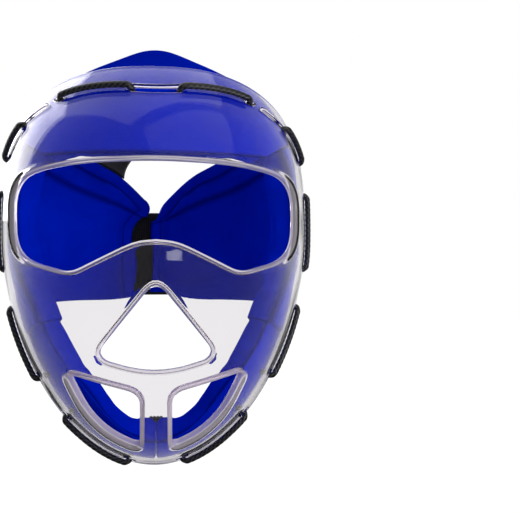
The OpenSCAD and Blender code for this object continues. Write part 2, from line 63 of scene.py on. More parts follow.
def add(tree, kind, **sockets):
    """Shader node with its sockets set to values or joined to others; i0, i1 name them by number."""
    made = tree.nodes.new("ShaderNode" + kind)
    for key, value in sockets.items():
        target = made.inputs[int(key[1:]) if key[1:].isdigit() else key.replace("_", " ")]
        if isinstance(value, bpy.types.NodeSocket):
            tree.links.new(value, target)
        else:
            target.default_value = value
    return made


def calc(tree, operation, a, b=0.0, c=0.0):
    made = add(tree, "Math", i0=a, i1=b, i2=c)
    made.operation = operation
    return made.outputs[0]


def seen_directly(tree, where, near, far):
    """1 for what the lens sees straight or through the clear shell.

    In a reflection the room brightens from near to far along y, so it is dark in front of the mask.
    """
    path = add(tree, "LightPath").outputs
    straight = calc(tree, "MAXIMUM", path["Is Camera Ray"], path["Is Transmission Ray"])
    y = add(tree, "SeparateXYZ", Vector=where).outputs["Y"]
    behind = add(tree, "MapRange", Value=y, From_Min=near, From_Max=far, To_Min=0.05, To_Max=0.9).outputs[0]
    return calc(tree, "MAXIMUM", straight, calc(tree, "MULTIPLY", path["Is Glossy Ray"], behind))


ROOM_GLOW = 0.12
room = bpy.data.worlds.new("white_room")
room.use_nodes = True
scene.world = room
glow = room.node_tree.nodes["Background"]
glow.inputs["Color"].default_value = (1, 1, 1, 1)
tree = room.node_tree
seen = seen_directly(tree, add(tree, "TexCoord").outputs["Generated"], 0.45, 0.95)
tree.links.new(calc(tree, "MULTIPLY_ADD", seen, 1 - ROOM_GLOW, ROOM_GLOW), glow.inputs["Strength"])

PAPER_Z, PAPER_HALF = -0.15, 4
paper_mesh = bpy.data.meshes.new("white_paper")
corners = [(x * PAPER_HALF, y * PAPER_HALF, PAPER_Z) for x, y in ((-1, -1), (1, -1), (1, 1), (-1, 1))]
paper_mesh.from_pydata(corners, [], [(0, 1, 2, 3)])
paper = bpy.data.objects.new("white_paper", paper_mesh)
scene.collection.objects.link(paper)
white = bpy.data.materials.new("white_paper")
white.use_nodes = True
tree = white.node_tree
tree.nodes.remove(tree.nodes["Principled BSDF"])
reflected = add(tree, "LightPath").outputs["Is Glossy Ray"]
grey = add(tree, "MixRGB", Fac=reflected, Color1=(0.6, 0.6, 0.6, 1), Color2=(0.1, 0.1, 0.1, 1))
matt = add(tree, "BsdfDiffuse", Color=grey.outputs[0])
lit = add(tree, "Emission", Color=(1, 1, 1, 1), Strength=1.12)
seen = seen_directly(tree, add(tree, "TexCoord").outputs["Object"], 0.1, 0.8)
veil = add(tree, "MixShader", Fac=calc(tree, "MULTIPLY", seen, 0.9), i1=matt.outputs[0], i2=lit.outputs[0])
tree.links.new(veil.outputs[0], tree.nodes["Material Output"].inputs["Surface"])
paper_mesh.materials.append(white)


MASK_MIDDLE = Vector((0, -0.02, -0.02))


def lamp(name, place, size, watts):
    """Square lamp turned to the middle of the mask."""
    data = bpy.data.lights.new(name, "AREA")
    data.size = size
    data.energy = watts
    made = bpy.data.objects.new(name, data)
    made.location = place
    made.rotation_euler = (MASK_MIDDLE - Vector(place)).to_track_quat("-Z", "Y").to_euler()
    scene.collection.objects.link(made)


lamp("key_lamp", (0.7, -1.0, 1.1), 1.6, 4)
lamp("left_window_pane", (0.66, -0.82, 0.02), 0.25, 1.5)
lamp("right_window_pane", (0.82, -0.65, 0.02), 0.25, 1.5)
lamp("back_lamp", (-0.9, 1.0, 0.7), 1.4, 16)
lamp("top_lamp", (-0.2, 0.3, 1.3), 1.6, 6)

# Clear shell
# One moulding of polycarbonate, 3.2 mm thick, with an eye opening, a three-cornered nose vent, two
# mouth vents and a row of lace holes along the rim. The edges of the openings are turned in and polished.
WALL = 3.2
HALF_W, CROWN_H, CHIN_DROP, FACE_DEPTH = 92, 90, 139, 100


def ease(t):
    t = np.clip(t, 0, 1)
    return t * t * (3 - 2 * t)


def sind(a):
    return np.sin(np.radians(a))


def cosd(a):
    return np.cos(np.radians(a))


def unit(v):
    return v / np.maximum(np.linalg.norm(v, axis=-1, keepdims=True), 1e-12)


def rim_r(th):
    power = 1.9 + 0.95 * ease((sind(th) + 0.4) / 0.8)
    height = np.where(sind(th) < 0, CHIN_DROP, CROWN_H)
    return ((np.abs(cosd(th)) / HALF_W) ** power + (np.abs(sind(th)) / height) ** power) ** (-1 / power)


def rim_slope(th):
    return 90 - np.where(sind(th) < 0, 10, 38) * sind(th) ** 2


def face_point(th, ph):
    """Outer face in mm.

    th goes round the rim from the wearer's left, and ph from the middle of the face to the rim.
    """
    th, ph = np.broadcast_arrays(np.asarray(th, float), np.asarray(ph, float))
    slope = rim_slope(th)
    full = 1 - 0.25 * np.minimum(0, sind(th)) ** 2
    rim_y = -np.where(sind(th) < 0, 30, 56) * sind(th) ** 2
    depth = (FACE_DEPTH + rim_y) / (1 - np.abs(cosd(slope)) ** full)
    r = rim_r(th) * sind(ph) / sind(slope)
    x, z = r * cosd(th), r * sind(th)
    ridge = 12 * np.exp(-(x / 22) ** 2 - ((z + 20) / 28) ** 2)
    bow = np.sign(cosd(ph)) * np.abs(cosd(ph)) ** full
    return np.stack([x, depth * (1 - bow) - FACE_DEPTH - ridge, z], -1)


def face_normal(th, ph):
    return unit(np.cross(face_point(th, ph + 0.2) - face_point(th, ph - 0.2),
                         face_point(th + 0.2, ph) - face_point(th - 0.2, ph)))


def inset_point(th, a, d):
    """Point a mm forward of the rim, or behind it if a is negative, and d mm inside the outer face."""
    th, a, d = np.broadcast_arrays(np.asarray(th, float), np.asarray(a, float), np.asarray(d, float))
    slope = rim_slope(th)
    rim = face_point(th, slope)
    ph = slope - np.maximum(0, a) / np.linalg.norm(rim - face_point(th, slope - 1), axis=-1)
    run = unit(rim - face_point(th, slope - 0.5))
    return face_point(th, ph) + np.maximum(0, -a)[..., None] * run - d[..., None] * face_normal(th, ph)


def piece(name, points, faces, normals=None):
    """Smooth mesh object from points in mm."""
    mesh = bpy.data.meshes.new(name)
    mesh.from_pydata((np.asarray(points) / 1000).tolist(), [], faces)
    mesh.shade_smooth()
    if normals is not None:
        mesh.normals_split_custom_set_from_vertices(np.asarray(normals).tolist())
    made = bpy.data.objects.new(name, mesh)
    scene.collection.objects.link(made)
    return made


def rounded(corners, steps=8):
    """Outline with each corner drawn as a curve; a corner is x, z and the length cut from its sides."""
    line = []
    for i, (x, z, cut) in enumerate(corners):
        p = np.array([x, z], float)
        before, after = (np.array(corners[(i + k) % len(corners)][:2], float) for k in (-1, 1))
        a, b = p + cut * unit(before - p), p + cut * unit(after - p)
        line += [a * (1 - t) ** 2 + p * 2 * t * (1 - t) + b * t * t for t in np.linspace(0, 1, steps + 1)]
    return np.array(line)


def both_halves(half):
    return half + [(-x, z, cut) for x, z, cut in reversed(half) if x > 0]


def spaced(line, step, closed=True):
    """The same line with points at even steps."""
    line = np.vstack([line, line[:1]]) if closed else np.asarray(line)
    run = np.concatenate([[0], np.cumsum(np.linalg.norm(np.diff(line, axis=0), axis=1))])
    count = max(8, int(round(run[-1] / step)))
    at = np.linspace(0, run[-1], count + 1)[:count if closed else count + 1]
    return np.stack([np.interp(at, run, line[:, k]) for k in range(line.shape[1])], -1)


def reach(th):
    return 0.55 * rim_r(th) + 75


def flatten(th, ph):
    """The shell laid flat: angle th, and a radius that grows from the middle of the face to the rim."""
    r = reach(th) * ph / rim_slope(th)
    return np.stack([r * cosd(th), r * sind(th)], -1)


def unflatten(flat):
    th = np.degrees(np.arctan2(flat[:, 1], flat[:, 0]))
    return th, np.linalg.norm(flat, axis=1) / reach(th) * rim_slope(th)


def front_to_flat(line):
    th = np.degrees(np.arctan2(line[:, 1], line[:, 0]))
    return flatten(th, np.degrees(np.arcsin(np.minimum(
        0.999, np.linalg.norm(line, axis=1) * sind(rim_slope(th)) / rim_r(th)))))


def hole_inset(th):
    return 13 + 10 * ease((np.minimum(th, 180 - th) - 22) / 30) - 5 * ease((-th - 68) / 14)


def slot_to_flat(start, end, r):
    """Lace hole from one angle to another, with round ends of radius r."""
    turn = np.linspace(0, 2 * np.pi, 28, endpoint=False)
    mid = (start + end) / 2
    inset = hole_inset(mid)
    rate = np.linalg.norm(inset_point(mid + 0.5, inset, 0) - inset_point(mid - 0.5, inset, 0))
    th = np.where(np.cos(turn) > 0, end, start) + r * np.cos(turn) / rate
    a = hole_inset(np.where(np.cos(turn) > 0, end, start)) + r * np.sin(turn)
    slope = rim_slope(th)
    rim_rate = np.linalg.norm(face_point(th, slope) - face_point(th, slope - 1), axis=-1)
    return flatten(th, slope - a / rim_rate)


def widened(flat, by):
    """Outline pushed out from its own middle side by so many mm."""
    along = np.roll(flat, -1, 0) - np.roll(flat, 1, 0)
    out = unit(np.stack([along[:, 1], -along[:, 0]], -1))
    if np.sum(out * (flat - flat.mean(0))) < 0:
        out = -out
    return flat + by * out


eye = rounded(both_halves([(0, -2, 21), (46, -25.2, 6), (80.5, -17.5, 17), (81.5, 27, 17), (42, 33.5, 20),
                           (0, 34.5, 10)]))
nose_vent = rounded(both_halves([(0, -80, 20), (33, -71, 8), (0, -31, 9)]))
mouth_vent = rounded([(9.5, -125, 5), (34.3, -114, 20), (49.5, -81, 6), (9.5, -91, 6)])
TURN_REACH, TURN_T, EYE_TURN, MOUTH_TURN = 4.2, 2.8, 4.8, 6
HOLE_R, HOLE_LIP, RIM_LIP, RIM_RUN = 2.9, 1.4, 2.4, 125
BROW_HOLE, BROW_SLOT = 38, 9
LACE_HOLES = [80, 53, BROW_HOLE, 24.5, 13, -15.5, -29, -52.5, -64.5, -83.5]
loops = [spaced(front_to_flat(spaced(line, 1.0)), 1.3)
         for line in (eye, nose_vent, mouth_vent, mouth_vent * (-1, 1))]
loops.append(spaced(slot_to_flat(80, 100, HOLE_R), 0.8))
for th in LACE_HOLES[1:]:
    for side in (1, -1):
        length = BROW_SLOT if th == BROW_HOLE else 0.1
        loops.append(spaced(slot_to_flat(th, th + length, HOLE_R) * (side, 1), 0.8))
plain = len(loops) - 4
lips = [(TURN_REACH, EYE_TURN)] * 2 + [(TURN_REACH, MOUTH_TURN)] * 2
lips += [(HOLE_LIP, WALL)] * plain + [(RIM_LIP, WALL)]
# Per opening: the share of the edge section past which the edge is painted milky lilac, and how strongly.
# This is partly the dye's tint and partly painted light carried along the wall.
edge_glow_paint = [(0.7, 0.75)] * 2 + [(0.35, 1.0)] * 2 + [(1, 0.0)] * (plain + 1)
loops = [widened(loop, lip) for loop, (lip, _) in zip(loops, lips)]
rim_th = np.linspace(0, 360, 420, endpoint=False)
loops.append(flatten(rim_th, rim_slope(rim_th) * (1 - RIM_LIP / RIM_RUN)))


def arc(x, y, reach_x, reach_y, start, end, steps=6):
    a = np.linspace(start, end, steps + 1)
    return [(x + reach_x * cosd(b), y + reach_y * sind(b)) for b in a]


def edge_section(lip, deep):
    """Section of an edge from the outer face to the inner: its reach into the opening, its depth."""
    if deep == WALL:
        return np.array(arc(0, WALL / 2, lip, WALL / 2, -90, 90, 8))
    tip = TURN_T / 2
    root = TURN_REACH - TURN_T - 1.2
    return np.array(arc(0, 2.6, lip, 2.6, -90, 0) + arc(lip - tip, deep - tip, tip, tip, 0, 180)
                    + arc(root, WALL + 0.2, 1.2, -0.2, 0, 90, 4) + [(0, WALL)])


def inside(points, loop):
    x, y = points[:, :1], points[:, 1:]
    a, b = loop, np.roll(loop, -1, 0)
    crosses = (a[:, 1] > y) != (b[:, 1] > y)
    rise = np.where(b[:, 1] == a[:, 1], 1e-9, b[:, 1] - a[:, 1])
    return np.sum(crosses & (x < (b[:, 0] - a[:, 0]) * (y - a[:, 1]) / rise + a[:, 0]), 1) % 2 == 1


grid = []
for j in range(1, 62):
    count = int(2 * np.pi * j * 2.05 / 2.2)
    th = (np.arange(count) + 0.5 * (j % 2)) * 360 / count
    grid.append(flatten(th, rim_slope(th) * j / 62))
grid = np.vstack(grid)
keep = inside(grid, loops[-1])
for k, loop in enumerate(loops):
    if k < len(loops) - 1:
        keep &= ~inside(grid, loop)
    for part in range(0, len(grid), 4000):
        near = np.linalg.norm(grid[part:part + 4000, None] - loop[None], axis=-1).min(1)
        keep[part:part + 4000] &= near > 1.3
flat = np.vstack(loops + [grid[keep]])
starts = np.cumsum([0] + [len(loop) for loop in loops])
edges = [(s + i, s + (i + 1) % len(loop)) for s, loop in zip(starts, loops) for i in range(len(loop))]
cut = geometry.delaunay_2d_cdt([Vector(p) for p in flat.tolist()], edges, [], 0, 1e-5)
flat_out = np.array([tuple(v) for v in cut[0]])
where = {old: new for new, olds in enumerate(cut[3]) for old in olds}
triangles = np.array(cut[2])
middles = flat_out[triangles].mean(1)
keep = inside(middles, loops[-1])
for loop in loops[:-1]:
    keep &= ~inside(middles, loop)
th, ph = unflatten(flat_out)
outer, out = face_point(th, ph), face_normal(th, ph)
corner = outer[triangles]
facing = np.cross(corner[:, 1] - corner[:, 0], corner[:, 2] - corner[:, 0])
turned = np.sum(facing * out[triangles[:, 0]], 1) < 0
triangles[turned] = triangles[turned][:, ::-1]
skin = triangles[keep]
shell_points = [outer, outer - WALL * out]
shell_normals = [out, -out]
painted_edge_marks = [np.zeros(2 * len(outer))]
shell_faces = skin.tolist() + (skin[:, ::-1] + len(outer)).tolist()
total = 2 * len(outer)
for s, loop, lip, (share, wall_light) in zip(starts, loops, lips, edge_glow_paint):
    ring = np.array([where[s + i] for i in range(len(loop))])
    p, n = outer[ring], out[ring]
    away = unit(np.cross(n, np.roll(p, -1, 0) - np.roll(p, 1, 0)))
    hole = s != starts[-2]
    if (np.sum(away * (p.mean(0) - p)) < 0) == hole:
        away = -away
    previous = ring
    bands = []
    section = edge_section(*lip)
    way = np.gradient(section, axis=0)
    for (u, w), (run_u, run_w) in zip(section[1:-1], way[1:-1]):
        shell_points.append(p + u * away - w * n)
        shell_normals.append(unit(run_w * away + run_u * n))
        # Points far enough round the edge get the painted light that stands in for light carried inside the
        # wall.
        painted_edge_marks.append(np.full(len(p), wall_light if u > share * lip[0] else 0.0))
        bands.append((previous, total + np.arange(len(ring))))
        previous = total + np.arange(len(ring))
        total += len(ring)
    bands.append((previous, ring + len(outer)))
    flip = np.sum(np.cross(np.roll(p, -1, 0) - p, away) * n) > 0
    for low, high in bands:
        quads = np.stack([low, np.roll(low, -1), np.roll(high, -1), high], -1)
        shell_faces += (quads if flip else quads[:, ::-1]).tolist()
shell_points, shell_normals = np.vstack(shell_points), np.vstack(shell_normals)
used = np.unique(np.concatenate([np.ravel(f) for f in shell_faces]))
place = np.full(total, -1)
place[used] = np.arange(len(used))
shell_faces = [place[list(f)].tolist() for f in shell_faces]
shell = piece("clear_shell", shell_points[used], shell_faces, shell_normals[used])
marks = shell.data.attributes.new("edge_light_mark", "FLOAT", "POINT")
marks.data.foreach_set("value", np.concatenate(painted_edge_marks)[used].astype(np.float32))

clear = bpy.data.materials.new("clear_polycarbonate")
clear.use_nodes = True
tree = clear.node_tree
gloss = tree.nodes["Principled BSDF"]
mark = add(tree, "Attribute")
mark.attribute_name = "edge_light_mark"
# Turned edges are painted milky lilac and made less clear: partly the dye's tint, partly painted light
# carried along the wall.
tint = add(tree, "MixRGB", Fac=mark.outputs["Fac"], Color1=(0.87, 0.86, 0.87, 1),
           Color2=(0.9, 0.82, 0.92, 1))
tree.links.new(tint.outputs[0], gloss.inputs["Base Color"])
gloss.inputs["Specular Tint"].default_value = (0.28, 0.28, 0.28, 1)
clearness = calc(tree, "MULTIPLY_ADD", mark.outputs["Fac"], -0.58, 1.0)
tree.links.new(clearness, gloss.inputs["Transmission Weight"])
gloss.inputs["IOR"].default_value = 1.58
smear = add(tree, "TexNoise", Vector=add(tree, "TexCoord").outputs["Object"], Scale=38.0, Detail=5.0)
tree.links.new(calc(tree, "MULTIPLY_ADD", smear.outputs["Fac"], 0.05, -0.005), gloss.inputs["Roughness"])
ripple = add(tree, "TexNoise", Vector=add(tree, "TexCoord").outputs["Object"], Scale=22.0, Detail=1.0)
tree.links.new(add(tree, "Bump", Strength=0.22, Distance=0.002, Height=ripple.outputs["Fac"]).outputs[0],
               gloss.inputs["Normal"])
through = add(tree, "BsdfTransparent", Color=(0.9, 0.89, 0.92, 1))
pane = add(tree, "MixShader", Fac=add(tree, "LightPath").outputs["Is Shadow Ray"], i1=gloss.outputs[0],
           i2=through.outputs[0])
tree.links.new(pane.outputs[0], tree.nodes["Material Output"].inputs["Surface"])
body = add(tree, "VolumeAbsorption", Color=(0.62, 0.53, 0.62, 1), Density=30.0)
tree.links.new(body.outputs[0], tree.nodes["Material Output"].inputs["Volume"])
shell.data.materials.append(clear)
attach(shell, "root")
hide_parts("face_shell")

# Lacing cord
# Braided polyester cord, 4.4 mm thick, laced round the rim on each side: outside between one pair of
# holes, inside through the pads between the next. Both ends meet in a knot inside the chin.
LACE_R, LACE_OUT, LACE_IN = 2.2, 1.9, -9.2
LACE_CHIN = -WALL - (0.6 + 2 + 0.2 + 15) - LACE_R - 0.6


def lace_point(run):
    run = np.asarray(run, float)
    return inset_point(run[:, 0], hole_inset(run[:, 0]), -run[:, 1])


def lace_rate(th):
    return float(np.linalg.norm(lace_point([(th + 0.5, 0)]) - lace_point([(th - 0.5, 0)])))


def lace_bend(th, level, way):
    up = 1 if level > -WALL / 2 else -1
    return [(th + way * 3.2 * (1 - cosd(b)) / lace_rate(th), level - up * 3.2 * (1 - sind(b)))
            for b in range(0, 91, 15)]


def lace_run(start, end, level):
    a, b = lace_bend(start, level, -1), lace_bend(end, level, 1)[::-1]
    count = max(2, int(abs(start - end) * lace_rate((start + end) / 2) / 4))
    return a + [(a[-1][0] + (b[0][0] - a[-1][0]) * k / count, level) for k in range(1, count)] + b


lace = [(86, LACE_IN), (83.5, LACE_IN)] + lace_bend(80, LACE_IN, 1)[::-1]
for k in range(9):
    lace += lace_run(LACE_HOLES[k], LACE_HOLES[k + 1], LACE_OUT if k % 2 == 0 else LACE_IN)
lace += lace_bend(-83.5, LACE_CHIN, -1) + [(-86.5, LACE_CHIN), (-88, LACE_CHIN), (-89.8, LACE_CHIN)]
lace = np.array(lace)
lace_line = spaced(np.hstack([lace_point(lace), lace]), 0.8, closed=False)
lace_side = unit(inset_point(lace_line[:, 3], hole_inset(lace_line[:, 3]) + 1, 0)
                 - inset_point(lace_line[:, 3], hole_inset(lace_line[:, 3]) - 1, 0))


def cord(name, line, side, r, flat=1.0, sides=18, lay=6.4):
    """Tube, flattened if need be, with the strands of a braid: two sets that wind opposite ways."""
    along = unit(np.gradient(line, axis=0))
    n = unit(np.cross(along, side))
    b = np.cross(n, along)
    run = np.concatenate([[0], np.cumsum(np.linalg.norm(np.diff(line, axis=0), axis=1))])
    turn = np.arange(sides) * 2 * np.pi / sides
    wind = 2 * np.pi * run[:, None] / lay
    strand = np.maximum(np.abs(np.cos(2 * turn + wind)), np.abs(np.cos(2 * turn - wind)))
    radius = r * (0.74 + 0.26 * strand)
    points = line[:, None] + radius[..., None] * (flat * np.cos(turn)[None, :, None] * n[:, None]
                                                  + np.sin(turn)[None, :, None] * b[:, None])
    rows = len(line)
    index = np.arange(rows * sides).reshape(rows, sides)
    quads = np.stack([index[:-1], np.roll(index, -1, 1)[:-1], np.roll(index, -1, 1)[1:], index[1:]], -1)
    faces = quads.reshape(-1, 4).tolist() + [index[0, ::-1].tolist(), index[-1].tolist()]
    made = piece(name, points.reshape(-1, 3), faces)
    # The strand heights are kept for the braid's painted highlight.
    marks = made.data.attributes.new("strand", "FLOAT", "POINT")
    marks.data.foreach_set("value", strand.astype(np.float32).ravel())
    return made


def matt_finish(name, colour, roughness, sheen=0.0):
    made = bpy.data.materials.new(name)
    made.use_nodes = True
    shader = made.node_tree.nodes["Principled BSDF"]
    shader.inputs["Base Color"].default_value = (*colour, 1)
    shader.inputs["Roughness"].default_value = roughness
    shader.inputs["Sheen Weight"].default_value = sheen
    shader.inputs["Specular IOR Level"].default_value = 0.2
    return made, made.node_tree, shader


braid, tree, shader = matt_finish("black_braid", (0.006, 0.006, 0.007), 0.36)
shader.inputs["Specular IOR Level"].default_value = 0.5
fibre = add(tree, "TexNoise", Vector=add(tree, "TexCoord").outputs["Object"], Scale=1800.0, Detail=3.0)
strand = add(tree, "Attribute")
strand.attribute_name = "strand"
# Strand tops are painted lighter grey, a painted highlight; the fibre noise adds random tone.
fibre_and_painted_glint = calc(tree, "MULTIPLY_ADD", fibre.outputs["Fac"], 0.1, strand.outputs["Fac"])
tone = add(tree, "ValToRGB", Fac=fibre_and_painted_glint)
tone.color_ramp.elements[0].position = 0.85
tone.color_ramp.elements[0].color = (0.002, 0.002, 0.003, 1)
tone.color_ramp.elements[1].color = (0.05, 0.05, 0.054, 1)
tree.links.new(tone.outputs[0], shader.inputs["Base Color"])
tree.links.new(add(tree, "Bump", Strength=0.4, Distance=0.0003, Height=fibre.outputs["Fac"]).outputs[0],
               shader.inputs["Normal"])
for name, side in (("left", 1), ("right", -1)):
    made = cord(name + "_lacing", lace_line[:, :3] * (side, 1, 1), lace_side * (side, 1, 1), LACE_R, 0.8)
    made.data.materials.append(braid)
    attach(made, "root")
    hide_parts(name + "_lace")

KNOT_R, KNOT_TURNS, KNOT_STEPS = 3.4, 3.5, 170
turn = np.linspace(0, 2 * np.pi * KNOT_TURNS, KNOT_STEPS)
knot_at = lace_point([(-90, LACE_CHIN)])[0]
wrap = np.stack([np.linspace(-KNOT_R, KNOT_R, KNOT_STEPS), knot_at[1] + KNOT_R * np.cos(turn),
                 knot_at[2] + KNOT_R * np.sin(turn)], -1)
knot = cord("chin_knot", wrap, np.tile([1.0, 0, 0], (KNOT_STEPS, 1)), 1.2, sides=10, lay=3.5)
knot.data.materials.append(braid)
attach(knot, "root")
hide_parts("lace_knot")

# Forehead, temple and jaw pads
# Foam sewn between a backing cloth, which lies against the shell, and a lining that touches the face.
# The cloth is a thin royal-blue polyester knit, drawn in along the seams and puckered where it is sewn.
EDGE_T, PAD_IN = 2.6, WALL + 0.6
# The first value sets how much darker the seams are painted: painted shade where the cloth is drawn in.
SEAM_SHADE, BULGE, SETTLE = 0.8, 2.5, 20

blue, tree, shader = matt_finish("royal_blue_cloth", (0.0, 0.017, 0.66), 0.8)
shader.inputs["Specular IOR Level"].default_value = 0.0
spot = add(tree, "TexCoord").outputs["Object"]
knit = add(tree, "TexVoronoi", Vector=spot, Scale=1100.0)
fade = add(tree, "TexNoise", Vector=spot, Scale=26.0, Detail=4.0)
tone = add(tree, "ValToRGB", Fac=fade.outputs["Fac"])
tone.color_ramp.elements[0].position = 0.3
tone.color_ramp.elements[0].color = (0.0, 0.0125, 0.56, 1)
tone.color_ramp.elements[1].position = 0.72
tone.color_ramp.elements[1].color = (0.0, 0.0185, 0.68, 1)
# Along the seams the cloth is painted a deep dark blue: painted shade in the drawn-in seams.
seam_shade_mark = add(tree, "Attribute")
seam_shade_mark.attribute_name = "crease"
shade = add(tree, "MixRGB", Fac=seam_shade_mark.outputs["Fac"], Color1=tone.outputs[0],
            Color2=(0.0, 0.004, 0.17, 1))
tree.links.new(shade.outputs[0], shader.inputs["Base Color"])
crease = add(tree, "TexNoise", Vector=spot, Scale=95.0, Detail=3.0, Distortion=0.6)
soft = add(tree, "Bump", Strength=0.25, Distance=0.0012, Height=crease.outputs["Fac"])
fine = add(tree, "Bump", Strength=0.35, Distance=0.0002, Height=knit.outputs["Distance"],
           Normal=soft.outputs[0])
tree.links.new(fine.outputs[0], shader.inputs["Normal"])


def sheet_faces(rows, cols):
    """Faces of a closed cushion made of two grids of points, the first facing out and the second in."""
    index = np.arange(rows * cols).reshape(rows, cols)
    first = np.stack([index[:-1, :-1], index[1:, :-1], index[1:, 1:], index[:-1, 1:]], -1).reshape(-1, 4)
    border = np.concatenate([index[0], index[1:, -1], index[-1, -2::-1], index[-2:0:-1, 0]])
    after = np.roll(border, -1)
    size = rows * cols
    sides = np.stack([border, after, after + size, border + size], -1)
    return np.vstack([first, first[:, ::-1] + size, sides]).tolist()


def filled(name, first, second, held, crease):
    """Cushion whose cloth is let out a little and pressed out from inside, held fast along its seams."""
    rows, cols = first.shape[:2]
    both = np.concatenate([first.reshape(-1, 3), second.reshape(-1, 3)])
    made = piece(name, both, sheet_faces(rows, cols))
    # The crease values mark where the seams are painted darker, as painted shade.
    marks = made.data.attributes.new("crease", "FLOAT", "POINT")
    marks.data.foreach_set("value", crease.astype(np.float32))
    rest = np.array([v.co for v in made.data.vertices])
    seams = made.vertex_groups.new(name="seams")
    for weight in np.unique(held):
        if weight > 0:
            seams.add(np.flatnonzero(held == weight).tolist(), float(weight), "REPLACE")
    cloth = made.modifiers.new("cloth", "CLOTH")
    cloth.settings.vertex_group_mass = "seams"
    cloth.settings.use_pressure = True
    cloth.settings.uniform_pressure_force = 4.0
    cloth.settings.effector_weights.gravity = 0
    cloth.settings.shrink_min = -0.05
    cloth.settings.quality = 6
    cloth.settings.mass = 0.2
    cloth.settings.bending_stiffness = 0.3
    cloth.point_cache.frame_start, cloth.point_cache.frame_end = 1, SETTLE
    for step in range(1, SETTLE + 1):
        scene.frame_set(step)
    done = made.evaluated_get(bpy.context.evaluated_depsgraph_get()).data
    moved = np.array([v.co for v in done.vertices]) - rest
    made.modifiers.remove(cloth)
    scene.frame_set(1)
    length = np.linalg.norm(moved, axis=1, keepdims=True)
    moved *= np.minimum(1, BULGE / 1000 / np.maximum(length, 1e-9))
    made.data.vertices.foreach_set("co", (rest + moved).astype(np.float32).ravel())
    made.data.update()
    round_off = made.modifiers.new("round_off", "SUBSURF")
    round_off.levels = round_off.render_levels = 1
    return made


def pad(name, th, front, back, full, nip, ends, flare=0.0, sink=0.0):
    """One pad along the rim: its angles, how far it reaches before and behind the rim, and its foam.

    The foam keeps a share of its thickness at the two ends. The part behind the rim may flare up, and
    the part that passes behind the turned edge of an opening sinks by so much.
    """
    rows, cols = len(th), 19
    across = 0.5 - 0.5 * np.cos(np.linspace(0, np.pi, cols))
    along = (th - th[0]) / (th[-1] - th[0])
    swell = (np.sqrt(np.maximum(0, 1 - np.abs(2 * across - 1) ** 4))[None]
             * np.sqrt(1 - (1 - np.where(along < 0.5, *ends) ** 2) * np.abs(2 * along - 1) ** 10)[:, None]
             * (1 - nip * np.exp(-((across - 0.5) / 0.06) ** 2))[None])
    a = front[:, None] * (1 - across) - back[:, None] * across
    depth = PAD_IN - flare * np.clip(-a / 18, 0, 1) ** 2
    low = depth + sink * ease((a - 11) / 5)
    first = inset_point(th[:, None], a, low)
    second = inset_point(th[:, None], a, np.maximum(low + 1.5, depth + EDGE_T + full * swell))
    border = np.zeros((rows, cols), bool)
    border[[0, -1]] = border[:, [0, -1]] = True
    sewn = border | ((np.abs(across - 0.5) < 0.03)[None] & (nip > 0))
    sewn = sewn.ravel().astype(float)
    held = np.concatenate([np.ones(rows * cols), sewn])
    # The sewn lines of the inner face are painted darker: painted shade.
    crease = np.concatenate([np.zeros(rows * cols), SEAM_SHADE * sewn])
    return filled(name, first, second, held, crease)


def cheek_reach(th):
    """How much farther forward the pads reach over the cheek."""
    return 20 * (ease((-th - 8) / 26) - ease((-th - 62) / 26))


def close_ends(count):
    """Steps from 0 to 1 that crowd at both ends, where the cloth turns over the end of the foam."""
    t = np.linspace(0, 1, count)
    return 0.25 * t + 0.75 * (0.5 - 0.5 * np.cos(np.pi * t))


FOREHEAD_LOW = 39.5
th = np.linspace(31.6, 148.4, 57)
slope = rim_slope(th)
edge_ph = np.degrees(np.arcsin(FOREHEAD_LOW / sind(th) * sind(slope) / rim_r(th)))
degree = np.linalg.norm(face_point(th, slope) - face_point(th, slope - 1), axis=-1)
forehead_front = (slope - edge_ph) * degree
forehead_back = 3 + (14.4 + 1.1 * np.cos((th - 90) / 4.5)) * np.exp(-((th - 90) / 23) ** 2)
made = pad("forehead_pad", th, forehead_front, forehead_back, 10, 0, (0.5, 0.5), flare=4.4)
cushions = [(made, "forehead")]
for name in ("left", "right"):
    th = -39.1 + 70.5 * close_ends(33)
    made = pad(name + "_temple_pad", th, 34 + cheek_reach(th), np.full(33, 3.0), 17, 0, (1, 0.5))
    cushions.append((made, name + "_temple"))
    th = -90 + 52.1 * close_ends(33)
    front = 33 + cheek_reach(th) - 3 * ease((-th - 72) / 18) ** 2
    full = 15 + 5 * ease((-th - 81) / 6)
    made = pad(name + "_jaw_pad", th, front, np.full(33, 3.0), full[:, None], 0.4, (0.8, 1), sink=3.2)
    cushions.append((made, name + "_jaw"))
for made, name in cushions:
    if name.startswith("right"):
        for v in made.data.vertices:
            v.co.x = -v.co.x
        made.data.flip_normals()
    made.data.materials.append(blue)
    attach(made, "root")
    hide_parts(name + "_backing", name + "_foam", name + "_lining")

# Ear flaps
# Foam panels in the same cloth, sewn to the pads behind the shell's rim and closed by a turned hem along
# the upper and rear edges, with a line of stitches below it.
FLAP_FOAM, FLAP_REACH = 8, 101


def flap_face(s, v):
    s, v = np.broadcast_arrays(np.asarray(s, float), np.asarray(v, float))
    start = inset_point(-30 + 71 * v, -4.6 + 0 * v, PAD_IN + 0 * v)
    corner = np.clip((s - 0.72) / 0.28, 0, 1) ** 2
    lift = corner * (4 * np.maximum(0, 1 - 3 * v) ** 2 - 13 * np.maximum(0, 3 * v - 2) ** 2)
    blend = np.maximum(0, s) ** 1.15
    return np.stack([start[..., 0] * cosd(84 * s),
                     start[..., 1] + (FLAP_REACH - start[..., 1]) * sind(84 * s),
                     start[..., 2] * (1 - blend) + (-46 + 72 * v) * blend + lift], -1)


def flap_out(s, v):
    return unit(np.cross(flap_face(s + 0.01, v) - flap_face(s - 0.01, v),
                         flap_face(s, v + 0.01) - flap_face(s, v - 0.01)))


def top_out(s):
    return unit(flap_face(s, 1) - flap_face(s, 0.97))


def rear_out(v, end):
    return unit(flap_face(end, v) - flap_face(end - 0.02, v))


